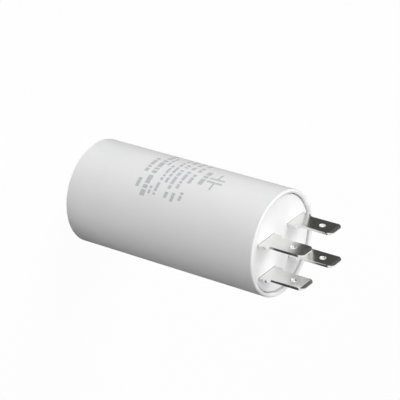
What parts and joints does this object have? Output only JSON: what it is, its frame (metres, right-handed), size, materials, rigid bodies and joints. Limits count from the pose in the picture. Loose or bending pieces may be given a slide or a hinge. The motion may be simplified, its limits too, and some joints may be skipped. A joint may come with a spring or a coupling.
{
  "type": "motor-run film capacitor",
  "caption": "Cylindrical plastic-cased film capacitor, closed flat at one end, with a recessed lid and double push-on blade terminals at the other.",
  "frame": {"origin": "centre of the closed end's flat face, on which the part stands", "axes": "+Z along the can towards the blade terminals; +X along the blades' width, from the left to the right terminal; +Y along the blades' thickness"},
  "size_m": [0.032, 0.032, 0.0804],
  "materials": {
    "case_plastic": "white moulded plastic, slight sheen",
    "lid_plastic": "white moulded plastic, slight sheen",
    "tinned_brass": "bright tin plate on stamped brass",
    "metallised_film": "rolled metallised film",
    "core_plastic": "natural plastic tube",
    "wrap_film": "clear film, several turns",
    "sprayed_zinc": "rough sprayed metal",
    "tinned_copper": "tinned wire",
    "sleeve_plastic": "thin insulating tube",
    "solder": "dull solder",
    "resin": "cast resin"
  },
  "bodies": {
    "root": {"case": "case_plastic", "lid": "lid_plastic", "terminal_left": "tinned_brass", "terminal_right": "tinned_brass", "film_winding": "metallised_film", "winding_core": "core_plastic", "outer_wrap": "wrap_film", "end_spray_top": "sprayed_zinc", "end_spray_bottom": "sprayed_zinc", "lead_top": "tinned_copper", "lead_bottom": "tinned_copper", "lead_sleeve": "sleeve_plastic", "solder_top_end": "solder", "solder_bottom_end": "solder", "solder_left_web": "solder", "solder_right_web": "solder", "potting_resin": "resin"}
  },
  "joints": []
}
